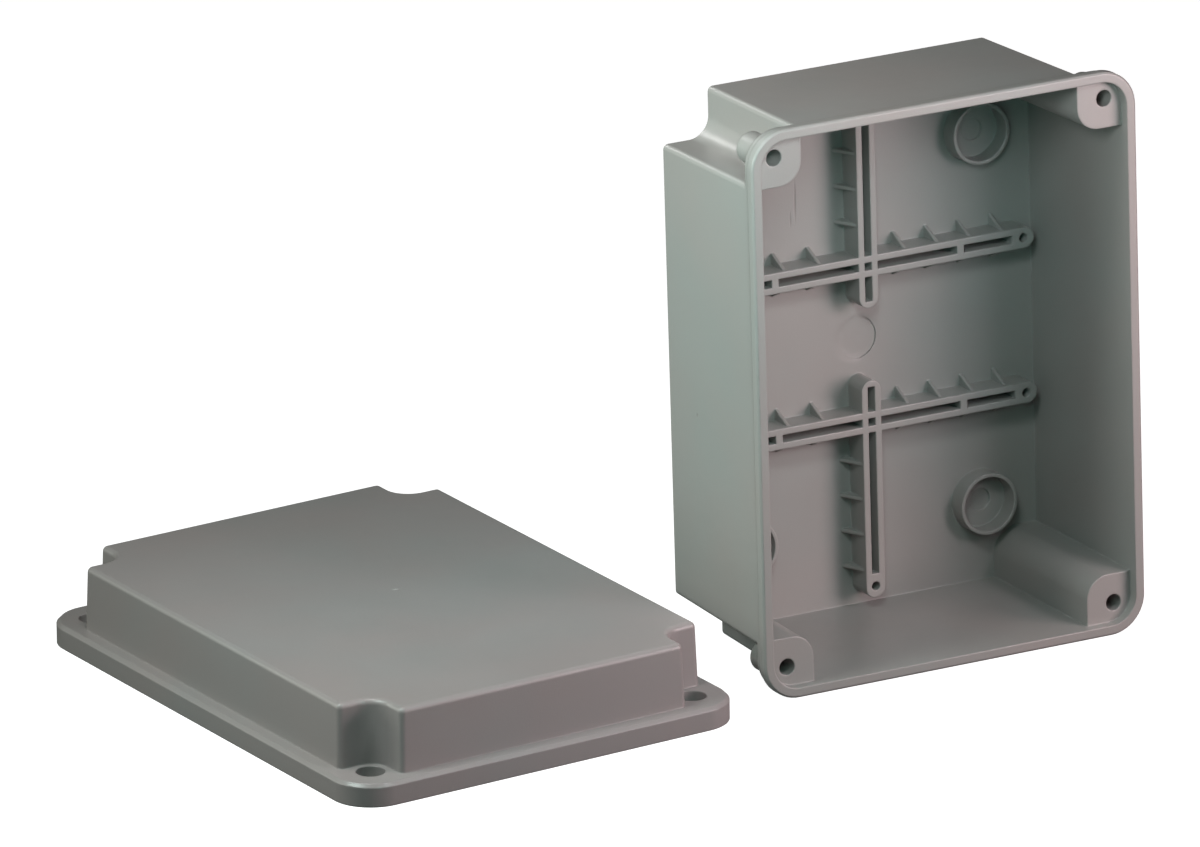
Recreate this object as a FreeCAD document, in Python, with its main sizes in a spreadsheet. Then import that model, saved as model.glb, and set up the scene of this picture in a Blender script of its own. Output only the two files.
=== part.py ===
import FreeCAD, Part
import math
import os
import Sketcher

# Moulded junction box: a base that stands on its short side and a lid that lies
# beside it. All sizes are in millimetres, +Z is up and the floor is at Z = 0.
# Each moulding is drawn in its own frame: X across its width, Y along its length
# and Z from its closed side to its open side (base) or up (lid).

SIZES = {
    # rim of the base and the walls behind it
    "rim_length": 158.0,
    "rim_width": 117.0,
    "rim_corner_radius": 10.4,
    "wall": 2.0,
    "lip_proud": 0.8,
    "lip_depth": 2.8,
    "lip_chamfer": 0.5,
    "base_depth": 54.0,
    "back_thickness": 2.2,
    "draft_angle": 1.3,
    "edge_radius": 1.5,
    "back_chamfer": 1.0,
    # corners: lid screw, recessed corner face and outer notch
    "screw_inset": 8.2,
    "corner_recess": 3.0,
    "corner_plate": 2.5,
    "corner_face": 16.4,
    "corner_face_radius": 6.5,
    "notch_inset": 14.7,
    "notch_radius": 5.0,
    "boss_radius": 4.4,
    "boss_length": 9.8,
    "screw_hole_radius": 2.3,
    "screw_hole_depth": 11.0,
    # slotted screw rails, two crosses on the back wall
    "rail_height": 7.7,
    "rail_width": 5.8,
    "rail_slot": 2.2,
    "rail_spacing": 43.8,
    "rail_side_gap": 7.2,
    "rail_end_gap": 7.3,
    "rail_short_arm": 11.7,
    "rail_short_end": 1.8,
    "rail_end_hole": 3.3,
    "rail_hole_radius": 1.25,
    "rail_hole_depth": 6.0,
    "rail_hole_land": 3.5,
    "rail_bridge": 2.1,
    "rail_bridge_place": 28.5,
    "gusset_reach": 3.2,
    "gusset_height": 6.6,
    "gusset_thickness": 1.0,
    "right_gusset_first": 12.0,
    "right_gusset_pitch": 10.0,
    "left_gusset_first": 14.3,
    "left_gusset_pitch": 10.7,
    "long_gusset_first": 11.7,
    "long_gusset_pitch": 10.0,
    # wall fixing cups
    "cup_side_inset": 21.45,
    "cup_end_inset": 26.6,
    "cup_radius": 8.75,
    "cup_height": 5.4,
    "cup_wall": 1.1,
    "cup_draft": 1.0,
    "knockout_radius": 3.1,
    "knockout_depth": 0.6,
    "gate_radius": 6.0,
    "gate_depth": 0.25,
    # lid
    "skirt_wall": 2.0,
    "skirt_gap": 0.25,
    "flange_height": 6.4,
    "flange_corner_radius": 11.6,
    "flange_chamfer": 1.0,
    "lid_height": 24.3,
    "dome_inset": 4.2,
    "dome_draft": 1.8,
    "dome_roof": 2.2,
    "dome_edge_radius": 1.6,
    "dome_notch_gap": 5.6,
    "dome_notch_radius": 5.8,
    "dome_column_wall": 2.0,
    "head_radius": 3.9,
    "head_depth": 3.1,
    "lid_hole_radius": 2.3,
    # seal and the channel for it under the flange
    "channel_depth": 4.2,
    "channel_gap": 0.35,
    "channel_inner_wall": 1.9,
    "seal_thickness": 1.8,
    "seal_gap": 0.2,
    # how the lid lies beside the base
    "lid_turn": 4.4,
    "lid_place_left": 136.1,
    "lid_place_back": 67.5,
}

# Rough half sizes that a sketch is first drawn with, before its dimensions act.
START_HALF_WIDTH = 56.0
START_HALF_LENGTH = 76.0
START_RADIUS = 8.0
START_NOTCH = 16.0

document = FreeCAD.newDocument("JunctionBox")
sheet = document.addObject("Spreadsheet::Sheet", "Sizes")


def fillSheet():
    """One row for each size: its name, its value and the alias that expressions use."""
    for row, (name, value) in enumerate(SIZES.items(), start=1):
        sheet.set("A%d" % row, name)
        sheet.set("B%d" % row, str(value))
        sheet.setAlias("B%d" % row, name)
    document.recompute()


def sized(text):
    """Expression text with each size name pointed at its cell."""
    words = text.replace("(", " ( ").replace(")", " ) ").split()
    return " ".join("Sizes." + word if word in SIZES else word for word in words)


def originPlane(body, role):
    """The body's own origin plane with this role."""
    return next(item for item in body.Origin.OriginFeatures if item.Role == role)


def addSketch(body, name, role, offset="0"):
    """Empty sketch on an origin plane, moved along the plane's normal."""
    sketch = body.newObject("Sketcher::SketchObject", name)
    sketch.AttachmentSupport = [(originPlane(body, role), "")]
    sketch.MapMode = "FlatFace"
    sketch.setExpression("AttachmentOffset.Base.z", sized(offset))
    return sketch


def bind(sketch, name, expression, *constraint):
    """Named dimension that follows an expression."""
    index = sketch.addConstraint(Sketcher.Constraint(*constraint))
    sketch.renameConstraint(index, name)
    sketch.setExpression("Constraints." + name, sized(expression))


def addLine(sketch, x1, y1, x2, y2):
    start = FreeCAD.Vector(x1, y1, 0)
    end = FreeCAD.Vector(x2, y2, 0)
    return sketch.addGeometry(Part.LineSegment(start, end), False)


def addArc(sketch, x, y, radius, first, last):
    """Arc that runs anticlockwise from the first to the last angle, in degrees."""
    circle = Part.Circle(FreeCAD.Vector(x, y, 0), FreeCAD.Vector(0, 0, 1), radius)
    arc = Part.ArcOfCircle(circle, math.radians(first), math.radians(last))
    return sketch.addGeometry(arc, False)


def rule(sketch, *constraint):
    sketch.addConstraint(Sketcher.Constraint(*constraint))


def drawRoundedRectangle(sketch, name, width, length, radius):
    """Rounded rectangle centred on the sketch origin."""
    w, h, r = START_HALF_WIDTH, START_HALF_LENGTH, START_RADIUS
    bottom = addLine(sketch, -w + r, -h, w - r, -h)
    right = addLine(sketch, w, -h + r, w, h - r)
    top = addLine(sketch, w - r, h, -w + r, h)
    left = addLine(sketch, -w, h - r, -w, -h + r)
    arcs = [
        addArc(sketch, w - r, -h + r, r, 270, 360),
        addArc(sketch, w - r, h - r, r, 0, 90),
        addArc(sketch, -w + r, h - r, r, 90, 180),
        addArc(sketch, -w + r, -h + r, r, 180, 270),
    ]
    sides = [bottom, right, top, left]
    for number, arc in enumerate(arcs):
        rule(sketch, "Tangent", sides[number], 2, arc, 1)
        rule(sketch, "Tangent", arc, 2, sides[(number + 1) % 4], 1)
    for arc in arcs[1:]:
        rule(sketch, "Equal", arcs[0], arc)
    rule(sketch, "Symmetric", bottom, 1, bottom, 2, -2)
    rule(sketch, "Symmetric", right, 1, right, 2, -1)
    rule(sketch, "Horizontal", top)
    rule(sketch, "Vertical", left)
    bind(sketch, name + "Width", width, "DistanceX", left, 1, right, 2, 2 * w)
    bind(sketch, name + "Length", length, "DistanceY", bottom, 2, top, 1, 2 * h)
    bind(sketch, name + "Radius", radius, "Radius", arcs[0], r)


def drawNotchedRectangle(sketch, name, width, length, shelfWidth, shelfLength, radius):
    """Rectangle with a square notch at each corner, rounded where its two walls meet.

    shelfWidth is the length of the short sides between the notches, and
    shelfLength that of the long sides."""
    w, h, r = START_HALF_WIDTH, START_HALF_LENGTH, START_RADIUS
    a, b = w - START_NOTCH, h - START_NOTCH
    bottom = addLine(sketch, -a, -h, a, -h)
    lowRight = addLine(sketch, a, -h, a, -b - r)
    lowRightShelf = addLine(sketch, a + r, -b, w, -b)
    right = addLine(sketch, w, -b, w, b)
    highRightShelf = addLine(sketch, w, b, a + r, b)
    highRight = addLine(sketch, a, b + r, a, h)
    top = addLine(sketch, a, h, -a, h)
    highLeft = addLine(sketch, -a, h, -a, b + r)
    highLeftShelf = addLine(sketch, -a - r, b, -w, b)
    left = addLine(sketch, -w, b, -w, -b)
    lowLeftShelf = addLine(sketch, -w, -b, -a - r, -b)
    lowLeft = addLine(sketch, -a, -b - r, -a, -h)
    arcs = [
        addArc(sketch, a + r, -b - r, r, 90, 180),
        addArc(sketch, a + r, b + r, r, 180, 270),
        addArc(sketch, -a - r, b + r, r, 270, 360),
        addArc(sketch, -a - r, -b - r, r, 0, 90),
    ]
    corners = [
        (bottom, lowRight), (lowRightShelf, right), (right, highRightShelf), (highRight, top),
        (top, highLeft), (highLeftShelf, left), (left, lowLeftShelf), (lowLeft, bottom),
    ]
    for before, after in corners:
        rule(sketch, "Coincident", before, 2, after, 1)
    rule(sketch, "Tangent", lowRight, 2, arcs[0], 2)
    rule(sketch, "Tangent", arcs[0], 1, lowRightShelf, 1)
    rule(sketch, "Tangent", highRightShelf, 2, arcs[1], 2)
    rule(sketch, "Tangent", arcs[1], 1, highRight, 1)
    rule(sketch, "Tangent", highLeft, 2, arcs[2], 2)
    rule(sketch, "Tangent", arcs[2], 1, highLeftShelf, 1)
    rule(sketch, "Tangent", lowLeftShelf, 2, arcs[3], 2)
    rule(sketch, "Tangent", arcs[3], 1, lowLeft, 1)
    for line in (lowRight, highRight, highLeft, lowLeft):
        rule(sketch, "Vertical", line)
    for line in (lowRightShelf, highRightShelf, highLeftShelf, lowLeftShelf):
        rule(sketch, "Horizontal", line)
    for arc in arcs[1:]:
        rule(sketch, "Equal", arcs[0], arc)
    rule(sketch, "Symmetric", bottom, 1, bottom, 2, -2)
    rule(sketch, "Symmetric", top, 1, top, 2, -2)
    rule(sketch, "Symmetric", right, 1, right, 2, -1)
    rule(sketch, "Symmetric", left, 1, left, 2, -1)
    rule(sketch, "Symmetric", bottom, 1, top, 2, -1)
    rule(sketch, "Symmetric", right, 1, left, 2, -2)
    bind(sketch, name + "Width", width, "DistanceX", left, 1, right, 2, 2 * w)
    bind(sketch, name + "Length", length, "DistanceY", bottom, 2, top, 1, 2 * h)
    bind(sketch, name + "ShelfWidth", shelfWidth, "DistanceX", bottom, 1, bottom, 2, 2 * a)
    bind(sketch, name + "ShelfLength", shelfLength, "DistanceY", right, 1, right, 2, 2 * b)
    bind(sketch, name + "Radius", radius, "Radius", arcs[0], r)


def drawPolygon(sketch, name, points):
    """Closed outline through points whose coordinates are expressions.

    Each point is (start x, start y, x expression, y expression)."""
    lines = []
    for number, point in enumerate(points):
        following = points[(number + 1) % len(points)]
        lines.append(addLine(sketch, point[0], point[1], following[0], following[1]))
    for number, line in enumerate(lines):
        rule(sketch, "Coincident", line, 2, lines[(number + 1) % len(lines)], 1)
    for number, (line, point) in enumerate(zip(lines, points)):
        bind(sketch, "%sX%d" % (name, number), point[2], "DistanceX", -1, 1, line, 1, point[0])
        bind(sketch, "%sY%d" % (name, number), point[3], "DistanceY", -1, 1, line, 1, point[1])


def drawBox(sketch, name, left, right, bottom, top):
    """Upright rectangle between four expressions."""
    low = addLine(sketch, 0, 0, 1, 0)
    far = addLine(sketch, 1, 0, 1, 1)
    high = addLine(sketch, 1, 1, 0, 1)
    near = addLine(sketch, 0, 1, 0, 0)
    for before, after in ((low, far), (far, high), (high, near), (near, low)):
        rule(sketch, "Coincident", before, 2, after, 1)
    for line in (low, high):
        rule(sketch, "Horizontal", line)
    for line in (far, near):
        rule(sketch, "Vertical", line)
    bind(sketch, name + "Left", left, "DistanceX", -1, 1, low, 1, 0)
    bind(sketch, name + "Right", right, "DistanceX", -1, 1, low, 2, 1)
    bind(sketch, name + "Bottom", bottom, "DistanceY", -1, 1, low, 1, 0)
    bind(sketch, name + "Top", top, "DistanceY", -1, 1, high, 1, 1)


def drawCircle(sketch, name, across, along, radius):
    """Circle whose centre and radius are expressions."""
    circle = Part.Circle(FreeCAD.Vector(0, 0, 0), FreeCAD.Vector(0, 0, 1), 3)
    geometry = sketch.addGeometry(circle, False)
    bind(sketch, name + "X", across, "DistanceX", -1, 1, geometry, 3, 1)
    bind(sketch, name + "Y", along, "DistanceY", -1, 1, geometry, 3, 1)
    bind(sketch, name + "Radius", radius, "Radius", geometry, 3)


def drawObround(sketch, name, upright, first, last, middle, radius):
    """Bar with round ends: first and last are the ends' centres along the bar."""
    low, high, r = 0.0, 20.0, 3.0
    if upright:
        sides = [addLine(sketch, r, low, r, high), addLine(sketch, -r, high, -r, low)]
        ends = [addArc(sketch, 0, high, r, 0, 180), addArc(sketch, 0, low, r, 180, 360)]
        run, cross, level = "DistanceY", "DistanceX", "Vertical"
    else:
        sides = [addLine(sketch, low, -r, high, -r), addLine(sketch, high, r, low, r)]
        ends = [addArc(sketch, high, 0, r, -90, 90), addArc(sketch, low, 0, r, 90, 270)]
        run, cross, level = "DistanceX", "DistanceY", "Horizontal"
    rule(sketch, "Tangent", sides[0], 2, ends[0], 1)
    rule(sketch, "Tangent", ends[0], 2, sides[1], 1)
    rule(sketch, "Tangent", sides[1], 2, ends[1], 1)
    rule(sketch, "Tangent", ends[1], 2, sides[0], 1)
    rule(sketch, level, sides[0])
    rule(sketch, "Equal", ends[0], ends[1])
    bind(sketch, name + "First", first, run, -1, 1, ends[1], 3, low)
    bind(sketch, name + "Last", last, run, -1, 1, ends[0], 3, high)
    bind(sketch, name + "Middle", middle, cross, -1, 1, ends[0], 3, 0)
    bind(sketch, name + "Radius", radius, "Radius", ends[0], r)


def extrude(body, kind, name, sketch, length, backwards=False, centred=False):
    """Pad or pocket of a sketch. backwards turns it against its usual way."""
    feature = body.newObject("PartDesign::" + kind, name)
    feature.Profile = sketch
    feature.setExpression("Length", sized(length))
    feature.Reversed = backwards
    if centred:
        feature.SideType = "Symmetric"
    document.recompute()
    return feature


def repeat(body, name, original, direction, count, pitch, reverse=False):
    """Row of copies along an axis of the original's sketch."""
    pattern = body.newObject("PartDesign::LinearPattern", name)
    pattern.Originals = [original]
    pattern.Direction = (original.Profile[0], [direction])
    pattern.Reversed = reverse
    pattern.Mode = "Spacing"
    pattern.setExpression("Offset", sized(pitch))
    pattern.Occurrences = count
    body.Tip = pattern
    document.recompute()
    return pattern


def dressEdges(body, kind, name, size, chosen):
    """Fillet or chamfer on the edges of the body's tip that a test picks."""
    base = body.Tip
    names = ["Edge%d" % (i + 1) for i, edge in enumerate(base.Shape.Edges) if chosen(edge)]
    feature = body.newObject("PartDesign::" + kind, name)
    feature.Base = (base, names)
    feature.setExpression("Radius" if kind == "Fillet" else "Size", sized(size))
    document.recompute()
    return feature


def draftWalls(body, name, angle, level, flipped=False):
    """Tilt the walls that the last pad or pocket made about the plane where they start.

    The feature's own walls are the upright faces that reach this level and that its base
    did not have. flipped tilts them the other way."""
    base = body.Tip
    older = base.BaseFeature.Shape.Faces if base.BaseFeature else []

    def isNewWall(face):
        box = face.BoundBox
        reaches = min(abs(box.ZMin - level), abs(box.ZMax - level)) < 1e-3
        return box.ZLength > 1 and reaches and all(
            face.CenterOfMass.distanceToPoint(known.CenterOfMass) > 0.01
            or abs(face.Area - known.Area) > 1 for known in older)

    def isStart(face):
        box = face.BoundBox
        return box.ZLength < 1e-3 and abs(box.ZMin - level) < 1e-3

    faces = list(enumerate(base.Shape.Faces, start=1))
    draft = body.newObject("PartDesign::Draft", name)
    draft.Base = (base, ["Face%d" % number for number, face in faces if isNewWall(face)])
    draft.NeutralPlane = (base, ["Face%d" % next(n for n, face in faces if isStart(face))])
    draft.setExpression("Angle", sized(angle))
    draft.Reversed = flipped
    document.recompute()
    return draft


def heights(edge):
    return [vertex.Point.z for vertex in edge.Vertexes]


def liesAt(edge, height):
    """True for an edge that lies in the plane at this height."""
    box = edge.BoundBox
    return abs(box.ZMin - height) < 1e-3 and abs(box.ZMax - height) < 1e-3


def outermost(edge, halfWidth, halfLength):
    """True for an edge whose middle is on the outline of this half width or length."""
    middle = edge.valueAt((edge.FirstParameter + edge.LastParameter) / 2)
    across = abs(abs(middle.x) - halfWidth) < 0.05
    along = abs(abs(middle.y) - halfLength) < 0.05
    return across or along


def makeBody(name, label):
    body = document.addObject("PartDesign::Body", name)
    body.Label = label
    return body


def cornerCircles(sketch, name, across, along, radius):
    """Four circles, mirrored in both axes of the sketch."""
    for number, (x, y) in enumerate(((1, 1), (-1, 1), (-1, -1), (1, -1))):
        place = "%d * ( %s )" % (x, across), "%d * ( %s )" % (y, along)
        drawCircle(sketch, "%s%d" % (name, number), place[0], place[1], radius)


def buildBaseShell(body):
    """Tapered walls, stepped rim, cavity and the four screwed corners."""
    # walls, narrowing from behind the corner plates to the back
    outline = addSketch(body, "WallOutline", "XY_Plane", "base_depth - corner_recess - corner_plate")
    drawNotchedRectangle(
        outline, "Wall", "rim_width - 2 * lip_proud", "rim_length - 2 * lip_proud",
        "rim_width - 2 * notch_inset", "rim_length - 2 * notch_inset", "notch_radius",
    )
    plateBack = SIZES["base_depth"] - SIZES["corner_recess"] - SIZES["corner_plate"]
    extrude(body, "Pad", "Walls", outline, "base_depth - corner_recess - corner_plate",
            backwards=True)
    draftWalls(body, "WallDraft", "draft_angle", plateBack, flipped=True)

    halfWidth = SIZES["rim_width"] / 2 - SIZES["lip_proud"]
    halfLength = SIZES["rim_length"] / 2 - SIZES["lip_proud"]

    def isOuterCorner(edge):
        """The long edges where two flat walls meet at a convex corner."""
        top = max(edge.Vertexes, key=lambda vertex: vertex.Point.z).Point
        reaches = abs(abs(top.x) - halfWidth) < 0.01 or abs(abs(top.y) - halfLength) < 0.01
        return reaches and min(heights(edge)) < 0.01 and abs(top.z - plateBack) < 0.01

    dressEdges(body, "Fillet", "WallRounding", "edge_radius", isOuterCorner)
    dressEdges(body, "Chamfer", "BackChamfer", "back_chamfer", lambda edge: liesAt(edge, 0))

    # corner plates and the rim in front of them, with its lip standing proud
    plate = addSketch(body, "PlateOutline", "XY_Plane", "base_depth - corner_recess - corner_plate")
    drawRoundedRectangle(plate, "Plate", "rim_width - 2 * lip_proud", "rim_length - 2 * lip_proud",
                         "rim_corner_radius - lip_proud")
    extrude(body, "Pad", "CornerPlates", plate, "corner_recess + corner_plate")
    lip = addSketch(body, "LipOutline", "XY_Plane", "base_depth - lip_depth")
    drawRoundedRectangle(lip, "Lip", "rim_width", "rim_length", "rim_corner_radius")
    extrude(body, "Pad", "Lip", lip, "lip_depth")

    # screw bosses behind the corner plates
    bosses = addSketch(body, "BossCircles", "XY_Plane", "base_depth - corner_recess - corner_plate")
    cornerCircles(bosses, "Boss", "rim_width / 2 - screw_inset", "rim_length / 2 - screw_inset",
                  "boss_radius")
    extrude(body, "Pad", "ScrewBosses", bosses, "boss_length", backwards=True)

    # cavity with its four columns, then the wider opening inside the rim
    cavity = addSketch(body, "CavityOutline", "XY_Plane", "base_depth - corner_recess")
    drawNotchedRectangle(
        cavity, "Cavity", "rim_width - 2 * ( lip_proud + wall )",
        "rim_length - 2 * ( lip_proud + wall )", "rim_width - 2 * corner_face",
        "rim_length - 2 * corner_face", "corner_face_radius",
    )
    extrude(body, "Pocket", "Cavity", cavity, "base_depth - corner_recess - back_thickness")
    face = SIZES["base_depth"] - SIZES["corner_recess"]
    draftWalls(body, "CavityDraft", "draft_angle", face)
    opening = addSketch(body, "OpeningOutline", "XY_Plane", "base_depth")
    drawRoundedRectangle(
        opening, "Opening", "rim_width - 2 * ( lip_proud + wall )",
        "rim_length - 2 * ( lip_proud + wall )", "rim_corner_radius - lip_proud - wall",
    )
    extrude(body, "Pocket", "Opening", opening, "corner_recess")

    # blind holes for the lid screws
    holes = addSketch(body, "ScrewCircles", "XY_Plane", "base_depth - corner_recess")
    cornerCircles(holes, "Screw", "rim_width / 2 - screw_inset", "rim_length / 2 - screw_inset",
                  "screw_hole_radius")
    extrude(body, "Pocket", "ScrewHoles", holes, "screw_hole_depth")

    front = SIZES["base_depth"]
    dressEdges(body, "Chamfer", "LipChamfer", "lip_chamfer",
               lambda edge: liesAt(edge, front)
               and outermost(edge, SIZES["rim_width"] / 2, SIZES["rim_length"] / 2))


def addGussets(body, name, role, offset, middles, count, pitch, away):
    """Row of thin buttresses that straddle a rail.

    middles holds the rail's middle line, one for each rail the row crosses."""
    sketch = addSketch(body, name + "Profile", role, offset)
    reach, half = "rail_width / 2 + gusset_reach", "rail_width / 2"
    foot, head = "back_thickness - 0.1", "back_thickness + gusset_height"
    for number, middle in enumerate(middles):
        drawPolygon(sketch, "Buttress%d" % number, [
            (-6, 2, "%s - ( %s )" % (middle, reach), foot),
            (6, 2, "%s + %s" % (middle, reach), foot),
            (3, 8, "%s + %s" % (middle, half), head),
            (-3, 8, "%s - %s" % (middle, half), head),
        ])
    pad = extrude(body, "Pad", name, sketch, "gusset_thickness", centred=True)
    repeat(body, name + "Row", pad, "N_Axis", count, pitch, reverse=away)


def buildRails(body):
    """Two crosses of slotted rails, mirror images of each other, with their gussets."""
    crossing = "rail_spacing / 2"
    end = "rail_width / 2"
    reach = "( rim_width / 2 - rail_side_gap )"
    tip = "( rim_length / 2 - rail_end_gap )"
    across = addSketch(body, "RailsAcross", "XY_Plane", "back_thickness")
    along = addSketch(body, "RailsAlong", "XY_Plane", "back_thickness")
    for name, side in (("Upper", 1), ("Lower", -1)):
        drawObround(across, name, False, "%s - %s" % (end, reach), "%s - %s" % (reach, end),
                    "%d * %s" % (side, crossing), end)
        near = "%s - rail_short_arm + %s" % (crossing, end)
        far = "%s - %s" % (tip, end)
        first, last = (near, far) if side == 1 else ("- ( %s )" % far, "- ( %s )" % near)
        drawObround(along, name, True, first, last, "0", end)
    extrude(body, "Pad", "RailBarsAcross", across, "rail_height")
    extrude(body, "Pad", "RailBarsAlong", along, "rail_height")

    pair = [crossing, "- " + crossing]
    addGussets(body, "RightGussets", "YZ_Plane", "right_gusset_first", pair, 4,
               "right_gusset_pitch", False)
    addGussets(body, "LeftGussets", "YZ_Plane", "- left_gusset_first", pair, 3,
               "left_gusset_pitch", True)
    for name, side in (("UpperGussets", -1), ("LowerGussets", 1)):
        addGussets(body, name, "XZ_Plane", "%d * ( %s + long_gusset_first )" % (side, crossing),
                   ["0"], 4, "long_gusset_pitch", side == -1)

    slots = addSketch(body, "RailSlots", "XY_Plane", "back_thickness + rail_height")
    half = "rail_slot / 2"
    land = "( rail_end_hole + rail_hole_land )"
    bridge = "rail_bridge_place - rail_bridge / 2", "rail_bridge_place + rail_bridge / 2"
    for name, side in (("Upper", 1), ("Lower", -1)):
        middle = "%d * %s" % (side, crossing)
        low, high = "%s - %s" % (middle, half), "%s + %s" % (middle, half)
        outer = "%s - %s" % (reach, land)
        drawBox(slots, name + "Window", "- " + half, half, low, high)
        drawBox(slots, name + "RightNear", end, bridge[0], low, high)
        drawBox(slots, name + "RightFar", bridge[1], outer, low, high)
        drawBox(slots, name + "LeftNear", "- ( %s )" % bridge[0], "- " + end, low, high)
        drawBox(slots, name + "LeftFar", "- ( %s )" % outer, "- ( %s )" % bridge[1], low, high)
        runs = [
            ("Long", end, "%s - %s - %s" % (tip, crossing, land)),
            ("Short", "rail_short_end - rail_short_arm", "- " + end),
        ]
        for run, inner, further in runs:
            ends = ["%s + %d * ( %s )" % (middle, side, place) for place in (inner, further)]
            drawBox(slots, name + run, "- " + half, half, ends[side == -1], ends[side == 1])
    extrude(body, "Pocket", "Slots", slots, "rail_height")

    holes = addSketch(body, "RailHoleCircles", "XY_Plane", "back_thickness + rail_height")
    cornerCircles(holes, "Arm", reach + " - rail_end_hole", crossing, "rail_hole_radius")
    for name, side in (("Upper", 1), ("Lower", -1)):
        drawCircle(holes, name, "0", "%d * ( %s - rail_end_hole )" % (side, tip),
                   "rail_hole_radius")
    extrude(body, "Pocket", "RailHoles", holes, "rail_hole_depth")


def buildCups(body):
    """Round fixing cups with a knock-out disc in each floor, and the gate mark."""
    places = "rim_width / 2 - cup_side_inset", "rim_length / 2 - cup_end_inset"
    tops = addSketch(body, "CupTops", "XY_Plane", "back_thickness + cup_height")
    cornerCircles(tops, "Cup", places[0], places[1], "cup_radius")
    extrude(body, "Pad", "Cups", tops, "cup_height", backwards=True)
    draftWalls(body, "CupDraft", "cup_draft", SIZES["back_thickness"])
    wells = addSketch(body, "CupWells", "XY_Plane", "back_thickness + cup_height")
    cornerCircles(wells, "Well", places[0], places[1], "cup_radius - cup_wall")
    extrude(body, "Pocket", "Wells", wells, "cup_height")
    discs = addSketch(body, "KnockoutCircles", "XY_Plane", "back_thickness")
    cornerCircles(discs, "Knockout", places[0], places[1], "knockout_radius")
    extrude(body, "Pocket", "Knockouts", discs, "knockout_depth")
    gate = addSketch(body, "GateCircle", "XY_Plane", "back_thickness")
    drawCircle(gate, "Gate", "0", "0", "gate_radius")
    extrude(body, "Pocket", "GateMark", gate, "gate_depth")


def buildLid(body):
    """Deep lid: a flange that goes round the base's lip and a dome with scalloped corners."""
    margin = "skirt_wall + skirt_gap"
    flange = addSketch(body, "FlangeOutline", "XY_Plane")
    drawRoundedRectangle(flange, "Flange", "rim_width + 2 * ( %s )" % margin,
                         "rim_length + 2 * ( %s )" % margin, "flange_corner_radius")
    extrude(body, "Pad", "Flange", flange, "flange_height")
    top = SIZES["flange_height"]
    reach = SIZES["skirt_wall"] + SIZES["skirt_gap"]
    dressEdges(body, "Chamfer", "FlangeChamfer", "flange_chamfer",
               lambda edge: liesAt(edge, top)
               and outermost(edge, SIZES["rim_width"] / 2 + reach, SIZES["rim_length"] / 2 + reach))

    dome = addSketch(body, "DomeOutline", "XY_Plane", "flange_height")
    drawNotchedRectangle(
        dome, "Dome", "rim_width + 2 * ( %s - dome_inset )" % margin,
        "rim_length + 2 * ( %s - dome_inset )" % margin,
        "rim_width - 2 * ( screw_inset + dome_notch_gap )",
        "rim_length - 2 * ( screw_inset + dome_notch_gap )", "dome_notch_radius",
    )
    extrude(body, "Pad", "Dome", dome, "lid_height - flange_height")
    draftWalls(body, "DomeDraft", "dome_draft", top)
    height = SIZES["lid_height"]
    halfWidth = SIZES["rim_width"] / 2 + reach - SIZES["dome_inset"]
    halfLength = SIZES["rim_length"] / 2 + reach - SIZES["dome_inset"]

    def isDomeEdge(edge):
        """Edges round the dome's top and its upright convex corners."""
        if liesAt(edge, height):
            return True
        foot = min(edge.Vertexes, key=lambda vertex: vertex.Point.z).Point
        reaches = abs(abs(foot.x) - halfWidth) < 0.01 or abs(abs(foot.y) - halfLength) < 0.01
        return reaches and abs(foot.z - top) < 0.01 and abs(max(heights(edge)) - height) < 0.01

    dressEdges(body, "Fillet", "DomeRounding", "dome_edge_radius", isDomeEdge)

    cavity = addSketch(body, "LidCavityOutline", "XY_Plane")
    inset = "lip_proud + wall + channel_gap + channel_inner_wall"
    drawNotchedRectangle(
        cavity, "LidCavity", "rim_width - 2 * ( %s )" % inset, "rim_length - 2 * ( %s )" % inset,
        "rim_width - 2 * ( screw_inset + dome_notch_gap + dome_column_wall )",
        "rim_length - 2 * ( screw_inset + dome_notch_gap + dome_column_wall )",
        "dome_notch_radius + dome_column_wall",
    )
    extrude(body, "Pocket", "LidCavity", cavity, "lid_height - dome_roof", backwards=True)
    draftWalls(body, "LidCavityDraft", "dome_draft", 0, flipped=True)

    channel = addSketch(body, "ChannelOutline", "XY_Plane")
    inner = "lip_proud + wall + channel_gap"
    drawRoundedRectangle(channel, "Outer", "rim_width + 2 * skirt_gap",
                         "rim_length + 2 * skirt_gap", "rim_corner_radius + skirt_gap")
    drawRoundedRectangle(channel, "Inner", "rim_width - 2 * ( %s )" % inner,
                         "rim_length - 2 * ( %s )" % inner, "rim_corner_radius - ( %s )" % inner)
    extrude(body, "Pocket", "SealChannel", channel, "channel_depth", backwards=True)

    places = "rim_width / 2 - screw_inset", "rim_length / 2 - screw_inset"
    heads = addSketch(body, "HeadCircles", "XY_Plane", "flange_height")
    cornerCircles(heads, "Head", places[0], places[1], "head_radius")
    extrude(body, "Pocket", "HeadRecesses", heads, "head_depth")
    holes = addSketch(body, "LidHoleCircles", "XY_Plane", "flange_height")
    cornerCircles(holes, "Hole", places[0], places[1], "lid_hole_radius")
    extrude(body, "Pocket", "LidHoles", holes, "flange_height")


def buildSeal(body):
    """Flat rubber ring against the roof of the lid's channel."""
    ring = addSketch(body, "SealOutline", "XY_Plane", "channel_depth - seal_thickness")
    outer = "skirt_gap - seal_gap"
    inner = "lip_proud + wall + channel_gap - seal_gap"
    drawRoundedRectangle(ring, "Outer", "rim_width + 2 * ( %s )" % outer,
                         "rim_length + 2 * ( %s )" % outer, "rim_corner_radius + %s" % outer)
    drawRoundedRectangle(ring, "Inner", "rim_width - 2 * ( %s )" % inner,
                         "rim_length - 2 * ( %s )" % inner, "rim_corner_radius - ( %s )" % inner)
    extrude(body, "Pad", "SealRing", ring, "seal_thickness")


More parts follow.
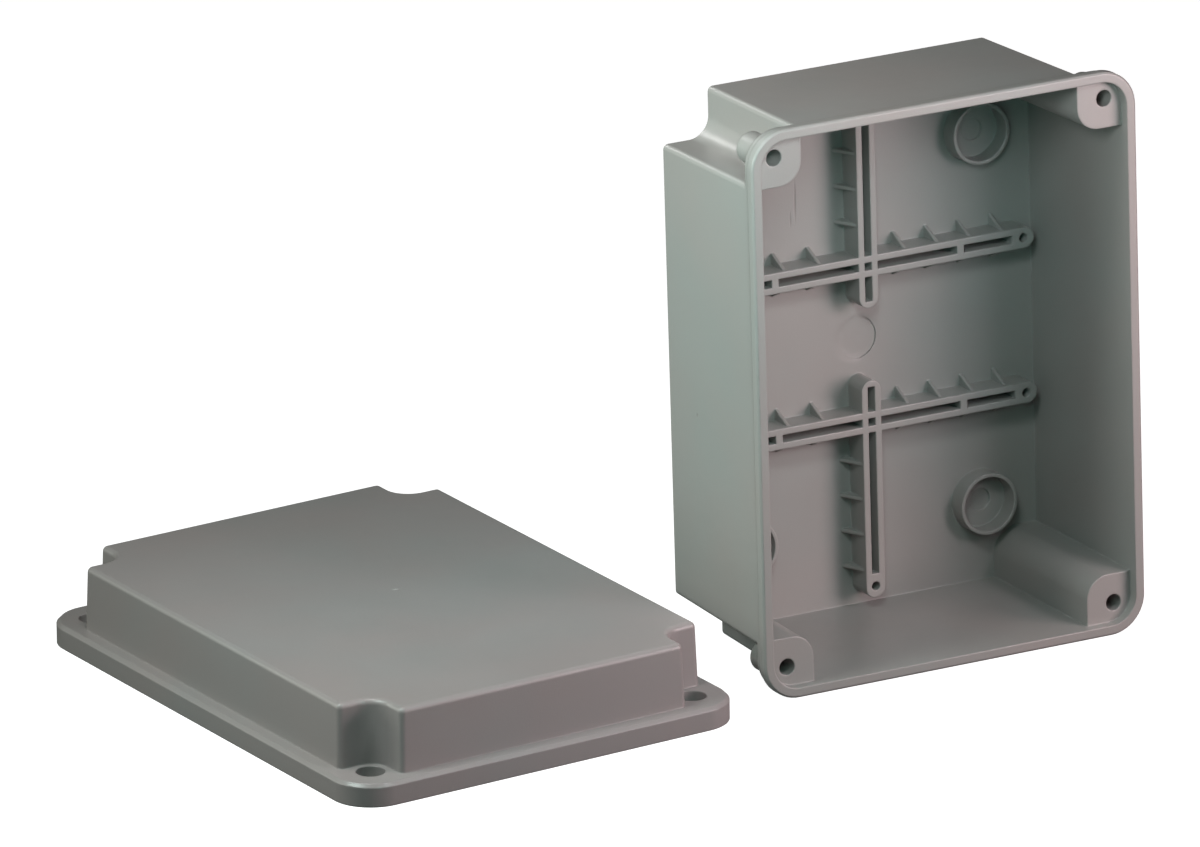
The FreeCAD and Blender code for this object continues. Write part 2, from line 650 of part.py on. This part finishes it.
def standingLean():
    """Lean of the standing base in degrees: it rests on its lip and on its back chamfer."""
    plateBack = SIZES["base_depth"] - SIZES["corner_recess"] - SIZES["corner_plate"]
    chamfer = SIZES["back_chamfer"]
    inset = (plateBack - chamfer) * math.tan(math.radians(SIZES["draft_angle"]))
    drop = SIZES["lip_proud"] + inset
    run = SIZES["base_depth"] - SIZES["lip_depth"] - chamfer
    return math.degrees(math.atan2(drop, run))


def standUp(body):
    """Turn the base up on its short side, its opening towards -Y and its lip on Z = 0."""
    lean = standingLean()
    turn = FreeCAD.Rotation(FreeCAD.Vector(1, 0, 0), 90 - lean)
    lip = turn.multVec(FreeCAD.Vector(
        0, -SIZES["rim_length"] / 2, SIZES["base_depth"] - SIZES["lip_depth"]))
    front = turn.multVec(FreeCAD.Vector(
        0, -SIZES["rim_length"] / 2, SIZES["base_depth"]))
    body.Placement = FreeCAD.Placement(FreeCAD.Vector(0, -front.y, -lip.z), turn)


def layDown(bodies):
    """Put the lid and its seal on the floor at the base's left."""
    turn = FreeCAD.Rotation(FreeCAD.Vector(0, 0, 1), SIZES["lid_turn"])
    place = FreeCAD.Vector(-SIZES["lid_place_left"], SIZES["lid_place_back"], 0)
    for body in bodies:
        body.Placement = FreeCAD.Placement(place, turn)


def centreAll(bodies):
    """Move everything together so that the origin is under the middle of the whole."""
    box = FreeCAD.BoundBox()
    for body in bodies:
        box.add(body.Shape.optimalBoundingBox(False))
    shift = FreeCAD.Vector(-box.Center.x, -box.Center.y, -box.ZMin)
    for body in bodies:
        body.Placement = FreeCAD.Placement(body.Placement.Base + shift, body.Placement.Rotation)
    document.recompute()


fillSheet()
base = makeBody("Base", "base_housing")
buildBaseShell(base)
buildRails(base)
buildCups(base)
lid = makeBody("Lid", "lid")
buildLid(lid)
seal = makeBody("Seal", "lid_gasket")
buildSeal(seal)
standUp(base)
layDown([lid, seal])
centreAll([base, lid, seal])

document.recompute()
for item in document.Objects:
    if "Invalid" in item.State or "Error" in item.State:
        raise RuntimeError("%s did not compute: %s" % (item.Name, item.State))
os.makedirs("parts", exist_ok=True)
for body in (base, lid, seal):
    if body.Shape.isNull() or not body.Shape.isValid() or len(body.Shape.Solids) != 1:
        raise RuntimeError("%s is not one sound solid" % body.Label)
    body.Shape.exportStep("parts/%s.step" % body.Label)
    print(body.Label, round(body.Shape.Volume), "mm3")
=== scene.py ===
import math
import bmesh
import bpy
from mathutils import Matrix, Vector


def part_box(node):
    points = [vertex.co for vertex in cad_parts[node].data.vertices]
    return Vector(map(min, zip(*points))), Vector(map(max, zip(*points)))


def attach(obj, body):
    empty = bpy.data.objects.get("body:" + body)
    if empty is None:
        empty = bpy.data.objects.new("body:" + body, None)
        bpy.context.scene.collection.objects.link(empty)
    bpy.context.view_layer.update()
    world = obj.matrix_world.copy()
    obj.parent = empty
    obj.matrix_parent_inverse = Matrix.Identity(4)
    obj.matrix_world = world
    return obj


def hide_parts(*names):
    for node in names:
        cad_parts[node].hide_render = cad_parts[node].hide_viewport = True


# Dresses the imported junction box: moulded grey plastic, a rubber seal, and the photo's studio.
# Lengths are metres, +Z is up and the standing base opens towards -Y.

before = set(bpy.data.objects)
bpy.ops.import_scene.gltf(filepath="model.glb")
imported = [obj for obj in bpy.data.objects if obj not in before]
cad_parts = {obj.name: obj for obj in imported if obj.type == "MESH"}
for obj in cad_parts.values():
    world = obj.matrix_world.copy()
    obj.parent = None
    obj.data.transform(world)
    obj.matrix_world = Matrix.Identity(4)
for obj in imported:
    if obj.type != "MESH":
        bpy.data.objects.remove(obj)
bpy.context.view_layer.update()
baseLow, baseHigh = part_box("base_housing")
print("frame loaded:", ", ".join(sorted(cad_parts)))


# Small helpers for shader nodes.

def newMaterial(name):
    # an empty material, with its nodes and its links
    material = bpy.data.materials.new(name)
    material.use_nodes = True
    material.node_tree.nodes.clear()
    return material, material.node_tree.nodes, material.node_tree.links


def addNode(nodes, kind, inputs=None, **settings):
    # settings are the node's own fields, inputs are the values of its sockets
    node = nodes.new("ShaderNode" + kind)
    for name, value in settings.items():
        setattr(node, name, value)
    for name, value in (inputs or {}).items():
        node.inputs[name].default_value = value
    return node


def addMath(nodes, links, operation, first, second):
    # the operation on first and second, each a number or a socket
    node = addNode(nodes, "Math", operation=operation)
    for slot, value in enumerate((first, second)):
        if isinstance(value, (int, float)):
            node.inputs[slot].default_value = value
        else:
            links.new(value, node.inputs[slot])
    return node.outputs["Value"]


def addRange(nodes, links, value, before, after):
    # straight-line map of value from the range before to the range after, held at its ends
    node = addNode(nodes, "MapRange", {
        "From Min": before[0], "From Max": before[1], "To Min": after[0], "To Max": after[1]})
    links.new(value, node.inputs["Value"])
    return node.outputs["Result"]


def addNoise(nodes, links, place, scale, detail, roughness):
    # clouds from zero to one, about scale of them in a metre, with detail finer layers, each
    # weaker than the last by the roughness
    texture = addNode(nodes, "TexNoise", {
        "Scale": scale, "Detail": detail, "Roughness": roughness})
    links.new(place, texture.inputs["Vector"])
    return texture.outputs["Fac"]


def addBump(nodes, links, height, depth, below=None):
    # normal of a skin raised by height times depth, over the normal below it
    node = addNode(nodes, "Bump", {"Strength": 1.0, "Distance": depth})
    links.new(height, node.inputs["Height"])
    if below:
        links.new(below, node.inputs["Normal"])
    return node.outputs["Normal"]


def addBall(nodes, links, place, centre, halfSizes):
    # length of (place - centre) / halfSizes: zero at the centre and one on a stretched ball
    offset = addNode(nodes, "VectorMath", operation="SUBTRACT")
    links.new(place, offset.inputs[0])
    offset.inputs[1].default_value = centre
    scaled = addNode(nodes, "VectorMath", operation="DIVIDE")
    links.new(offset.outputs["Vector"], scaled.inputs[0])
    scaled.inputs[1].default_value = halfSizes
    distance = addNode(nodes, "VectorMath", operation="LENGTH")
    links.new(scaled.outputs["Vector"], distance.inputs[0])
    return distance.outputs["Value"]


def addOutput(nodes, links, kind, shader):
    # the shader becomes the surface of the material or the world
    output = addNode(nodes, kind)
    links.new(shader, output.inputs["Surface"])


plastic = {
    # what both mouldings share; a pattern is its scale in a metre, detail and roughness
    "colour": (0.262, 0.262, 0.252, 1.0),      # mid grey of the moulding compound
    "coolColour": (0.252, 0.266, 0.256, 1.0),  # greener flow patches
    "warmColour": (0.272, 0.258, 0.247, 1.0),  # browner flow patches
    "patches": (14.0, 3.0, 0.5),
    "patchLevels": (0.35, 0.5, 0.65),          # of the cool, the middle and the warm colour
    "smudges": (38.0, 5.0, 0.6),
    "smudgeLevels": (0.3, 0.7),
    "roughness": (0.31, 0.42),                 # between the smudges and on them
    "specular": 0.5,
    "waves": (55.0, 1.0, 0.4),                 # sink and ripple of a thin wall
    "waveDepth": 0.00010,
    "grain": (2600.0, 2.0, 0.6),               # eroded texture of the mould
    "grainDepth": 0.00003,
    "edgeRadius": 0.0006,
    "edgeSamples": 8,
    "softSpotRim": 0.8,                        # from here to one a soft spot fades out
    "markDepth": 0.00012,
}
basePiece = {
    "paintedShade": (1.0, 1.0, 1.0),
    "offset": (0.0, 0.0, 0.0),  # shift of its patches and smudges
    "marks": [
        # place in the frame and half sizes
        ((0.0540, -0.0112, 0.1183), (0.0005, 0.0013, 0.0068)),  # flow line on the back wall
        ((0.0525, -0.0116, 0.1136), (0.0004, 0.0013, 0.0026)),  # its lower end, beside it
        ((0.0148, -0.0278, 0.0694), (0.0005, 0.0006, 0.0007)),  # pit in the outer left wall
    ],
    "markTone": (0.205, 0.195, 0.192, 1.0),
    "markSide": -1.0,           # sunk
    # place, half sizes and edge radius: the gate disc, whose edge hardly shows
    "softSpots": [((0.07177, -0.01266, 0.07711), (0.009, 0.009, 0.009), 0.0032)],
}
lidPiece = {
    "paintedShade": (0.95, 0.89, 0.92),  # painted shade: the lid's copy of the compound made a little darker and browner, standing in for the light it gets
    "offset": (0.37, 0.11, 0.05),
    "marks": [((-0.0612, 0.0024, 0.0243), (0.0012, 0.0007, 0.0006))],  # stub of the gate
    "markTone": (0.40, 0.40, 0.39, 1.0),
    "markSide": 1.0,              # raised
    "softSpots": [],
}


def mouldedPlastic(name, own):
    # flow patches in the colour, smudged gloss, ripple and grain over softened edges, and the
    # piece's own marks, in which the mark's tone takes over and the skin sinks or rises
    material, nodes, links = newMaterial(name)
    place = addNode(nodes, "TexCoord").outputs["Object"]
    shift = addNode(nodes, "Mapping", {"Location": own["offset"]})
    links.new(place, shift.inputs["Vector"])

    def pattern(key):
        return addNoise(nodes, links, shift.outputs["Vector"], *plastic[key])

    # the colour under the piece's painted shade: none on the base, darker and browner on the lid
    def shaded(key):
        return [share * part for share, part in zip((*own["paintedShade"], 1.0), plastic[key])]

    # marks: one at the centre of each, falling evenly to zero at its surface
    marked = 0.0
    for centre, halfSizes in own["marks"]:
        ball = addBall(nodes, links, place, centre, halfSizes)
        mark = addRange(nodes, links, ball, (0.0, 1.0), (1.0, 0.0))
        marked = addMath(nodes, links, "MAXIMUM", mark, marked)

    # colour
    coolLevel, middleLevel, warmLevel = plastic["patchLevels"]
    tint = addNode(nodes, "ValToRGB")
    ramp = tint.color_ramp
    ramp.elements[0].position = coolLevel
    ramp.elements[0].color = shaded("coolColour")
    ramp.elements[1].position = warmLevel
    ramp.elements[1].color = shaded("warmColour")
    ramp.elements.new(middleLevel).color = shaded("colour")
    links.new(pattern("patches"), tint.inputs["Fac"])
    toned = addNode(nodes, "MixRGB", {"Color2": own["markTone"]})
    links.new(marked, toned.inputs["Fac"])
    links.new(tint.outputs["Color"], toned.inputs["Color1"])

    # skin: rounded edges, then waves, grain and marks
    rounded = addNode(nodes, "Bevel", {"Radius": plastic["edgeRadius"]},
                      samples=plastic["edgeSamples"])
    for centre, halfSizes, radius in own["softSpots"]:
        ball = addBall(nodes, links, place, centre, halfSizes)
        softer = addRange(nodes, links, ball, (plastic["softSpotRim"], 1.0),
                          (radius, plastic["edgeRadius"]))
        links.new(softer, rounded.inputs["Radius"])
    skin = addBump(nodes, links, pattern("waves"), plastic["waveDepth"],
                   rounded.outputs["Normal"])
    skin = addBump(nodes, links, pattern("grain"), plastic["grainDepth"], skin)
    height = addMath(nodes, links, "MULTIPLY", marked, own["markSide"])
    skin = addBump(nodes, links, height, plastic["markDepth"], skin)

    gloss = addRange(nodes, links, pattern("smudges"), plastic["smudgeLevels"],
                     plastic["roughness"])
    surface = addNode(nodes, "BsdfPrincipled", {"Specular IOR Level": plastic["specular"]})
    links.new(toned.outputs["Color"], surface.inputs["Base Color"])
    links.new(gloss, surface.inputs["Roughness"])
    links.new(skin, surface.inputs["Normal"])
    addOutput(nodes, links, "OutputMaterial", surface.outputs["BSDF"])
    return material


rubber = {
    "colour": (0.028, 0.028, 0.029, 1.0),
    "dustColour": (0.060, 0.060, 0.060, 1.0),
    "dust": (60.0, 4.0, 0.6),  # scale in a metre, detail and roughness of the pattern
    "roughness": 0.72,
    "grain": (1800.0, 3.0, 0.6),
    "grainDepth": 0.00005,
}


def sealRubber(name):
    # black rubber, greyer where dust lies on it, with a fine grain
    material, nodes, links = newMaterial(name)
    place = addNode(nodes, "TexCoord").outputs["Object"]
    tone = addNode(nodes, "ValToRGB")
    tone.color_ramp.elements[0].color = rubber["colour"]
    tone.color_ramp.elements[1].color = rubber["dustColour"]
    links.new(addNoise(nodes, links, place, *rubber["dust"]), tone.inputs["Fac"])
    grain = addNoise(nodes, links, place, *rubber["grain"])
    skin = addBump(nodes, links, grain, rubber["grainDepth"])
    surface = addNode(nodes, "BsdfPrincipled", {"Roughness": rubber["roughness"]})
    links.new(tone.outputs["Color"], surface.inputs["Base Color"])
    links.new(skin, surface.inputs["Normal"])
    addOutput(nodes, links, "OutputMaterial", surface.outputs["BSDF"])
    return material


smoothing = {
    "mergeDistance": 0.000002,
    "sharpAngle": math.radians(24),  # curves bend less than this from facet to facet
    "largeFaceWeight": 80,           # how far large faces rule the shading at their edges
}


def smoothMoulding(nodeName, pieceName, material):
    # a copy of the CAD node with its loose triangles merged and its curves shaded smooth;
    # an edge is sharp where its two faces meet at more than the sharp angle
    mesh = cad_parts[nodeName].data.copy()
    mesh.name = pieceName
    work = bmesh.new()
    work.from_mesh(mesh)
    bmesh.ops.remove_doubles(work, verts=work.verts, dist=smoothing["mergeDistance"])
    for face in work.faces:
        face.smooth = True
    for edge in work.edges:
        edge.smooth = edge.is_manifold and edge.calc_face_angle() < smoothing["sharpAngle"]
    work.to_mesh(mesh)
    work.free()
    mesh.materials.clear()
    mesh.materials.append(material)
    piece = bpy.data.objects.new(pieceName, mesh)
    bpy.context.scene.collection.objects.link(piece)
    weighted = piece.modifiers.new("faceWeights", "WEIGHTED_NORMAL")
    weighted.keep_sharp = True
    weighted.weight = smoothing["largeFaceWeight"]
    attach(piece, "root")
    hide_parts(nodeName)


smoothMoulding("base_housing", "standing_base",
               mouldedPlastic("basePlastic", basePiece))
smoothMoulding("lid", "lying_lid", mouldedPlastic("lidPlastic", lidPiece))
smoothMoulding("lid_gasket", "channel_seal", sealRubber("sealRubber"))
print("mouldings dressed")

photoView = {
    "place": (-1.89240, -3.34726, 1.42419),  # from the foot of the base's rim
    "forward": (0.443767, 0.832294, -0.332200),
    "roll": 0.011413,                        # radians
    "lens": 458.52,                          # millimetres, as the sensor's width is
    "sensorWidth": 36.0,
    "nearest": 0.1,
    "farthest": 50.0,
}


def addCamera():
    # stands at the base's rim foot plus its place; right is forward x up, its own up is
    # right x forward, and both then roll about forward
    camera = bpy.data.cameras.new("photoCamera")
    camera.sensor_fit = "HORIZONTAL"
    camera.sensor_width = photoView["sensorWidth"]
    camera.lens = photoView["lens"]
    camera.clip_start = photoView["nearest"]
    camera.clip_end = photoView["farthest"]
    holder = bpy.data.objects.new("photoCamera", camera)
    bpy.context.scene.collection.objects.link(holder)
    forward = Vector(photoView["forward"]).normalized()
    right = forward.cross(Vector((0, 0, 1))).normalized()
    turn = Matrix((right, right.cross(forward), -forward)).transposed()
    turn = Matrix.Rotation(photoView["roll"], 3, forward) @ turn
    rimFoot = Vector(((baseLow.x + baseHigh.x) / 2, baseLow.y, 0.0))
    place = rimFoot + Vector(photoView["place"])
    holder.matrix_world = Matrix.Translation(place) @ turn.to_4x4()
    bpy.context.scene.camera = holder


addCamera()
print("camera placed")

studio = {
    "floorHalf": 6.0,
    "floorTone": 0.14,   # floor as the object sees it
    "seenTone": 0.35,    # floor as the camera sees it, over its glow
    "floorGlow": 0.975,  # white of the floor before its own light, below 1 for the shadow
    "worldTone": 0.0,    # surround as the object sees it
    "seenWorld": 1.0,    # surround as the camera sees it
    "glossShare": 0.0,   # share of the white surround that shows in the gloss
}
aims = {
    "middle": (0.0, 0.0, 0.07),
    "baseTop": (0.07, -0.04, 0.14),
    "baseBack": (0.07, -0.01, 0.07),
}
lamps = {
    # aim, azimuth and elevation from the aim in degrees, distance, size, power, colour and
    # width of the beam in degrees
    "rightLow": ("middle", 315, 8, 0.7, 0.3, 2.70, (1.00, 0.77, 0.78), 180),
    "backLeft": ("middle", 150, 15, 0.8, 0.4, 2.00, (0.91, 0.97, 0.87), 180),
    "leftNear": ("baseTop", 185, 12, 0.3, 0.1, 0.54, (0.84, 1.00, 0.95), 180),
    "leftNearHigh": ("baseTop", 185, 48, 0.3, 0.1, 0.45, (1.00, 0.93, 0.92), 180),
    "frontNear": ("baseTop", 240, 12, 0.3, 0.1, 0.13, (0.48, 1.00, 0.88), 180),
    "frontClose": ("baseTop", 238, 30, 0.2, 0.06, 0.22, (0.92, 1.00, 1.00), 180),
    "rightNear": ("baseTop", 300, 12, 0.3, 0.1, 0.39, (1.00, 0.88, 0.94), 180),
    "backHigh": ("baseBack", 112, 36, 0.5, 0.1, 0.035, (1.00, 0.98, 0.98), 24),
}


def grey(tone):
    # the tone in all three parts of a colour
    return (tone, tone, tone, 1.0)


def seesBackground(nodes, links):
    # one for camera and transmitted rays, the gloss share for glossy rays, else nothing
    path = addNode(nodes, "LightPath").outputs
    gloss = addMath(nodes, links, "MULTIPLY", path["Is Glossy Ray"], studio["glossShare"])
    direct = addMath(nodes, links, "MAXIMUM", path["Is Camera Ray"], path["Is Transmission Ray"])
    return addMath(nodes, links, "MAXIMUM", direct, gloss)


def mixSeen(nodes, links, unseen, seen):
    # the seen shader for the rays that see the background, the unseen one for light
    mix = addNode(nodes, "MixShader")
    links.new(seesBackground(nodes, links), mix.inputs["Fac"])
    links.new(unseen, mix.inputs[1])
    links.new(seen, mix.inputs[2])
    return mix.outputs["Shader"]


def addWorld():
    # a plain surround, white where the camera sees it
    world = bpy.data.worlds.new("studioWorld")
    bpy.context.scene.world = world
    world.use_nodes = True
    nodes, links = world.node_tree.nodes, world.node_tree.links
    nodes.clear()
    soft, white = (
        addNode(nodes, "Background", {"Color": grey(1.0), "Strength": studio[key]})
        for key in ("worldTone", "seenWorld"))
    shader = mixSeen(nodes, links, soft.outputs["Background"], white.outputs["Background"])
    addOutput(nodes, links, "OutputWorld", shader)


def addFloor():
    # a square of twice floorHalf at zero height; the camera sees its glow plus the light on it,
    # so that the object's shadow stays
    half = studio["floorHalf"]
    mesh = bpy.data.meshes.new("studioFloor")
    corners = [(-half, -half, 0), (half, -half, 0), (half, half, 0), (-half, half, 0)]
    mesh.from_pydata(corners, [], [(0, 1, 2, 3)])
    floor = bpy.data.objects.new("studioFloor", mesh)
    bpy.context.scene.collection.objects.link(floor)
    material, nodes, links = newMaterial("floorWhite")
    plain = addNode(nodes, "BsdfDiffuse", {"Color": grey(studio["floorTone"])})
    seen = addNode(nodes, "BsdfDiffuse", {"Color": grey(studio["seenTone"])})
    bright = addNode(nodes, "Emission", {"Strength": studio["floorGlow"]})
    lit = addNode(nodes, "AddShader")
    links.new(seen.outputs["BSDF"], lit.inputs[0])
    links.new(bright.outputs["Emission"], lit.inputs[1])
    shader = mixSeen(nodes, links, plain.outputs["BSDF"], lit.outputs["Shader"])
    addOutput(nodes, links, "OutputMaterial", shader)
    mesh.materials.append(material)


def addLamp(name, aim, azimuth, elevation, distance, size, power, colour, beam):
    # a disc at aim + distance * way, facing the aim, where
    # way = (cos azimuth cos elevation, sin azimuth cos elevation, sin elevation)
    light = bpy.data.lights.new(name, "AREA")
    light.shape = "DISK"
    light.size = size
    light.energy = power
    light.color = colour
    light.spread = math.radians(beam)
    holder = bpy.data.objects.new(name, light)
    holder.visible_camera = False
    bpy.context.scene.collection.objects.link(holder)
    turn, rise = math.radians(azimuth), math.radians(elevation)
    way = Vector((math.cos(turn) * math.cos(rise), math.sin(turn) * math.cos(rise),
                  math.sin(rise)))
    holder.location = Vector(aims[aim]) + way * distance
    holder.rotation_euler = way.to_track_quat("Z", "Y").to_euler()


addWorld()
addFloor()
for lampName, lamp in lamps.items():
    addLamp(lampName, *lamp)
bpy.context.scene.view_settings.view_transform = "Standard"
print("studio lit")
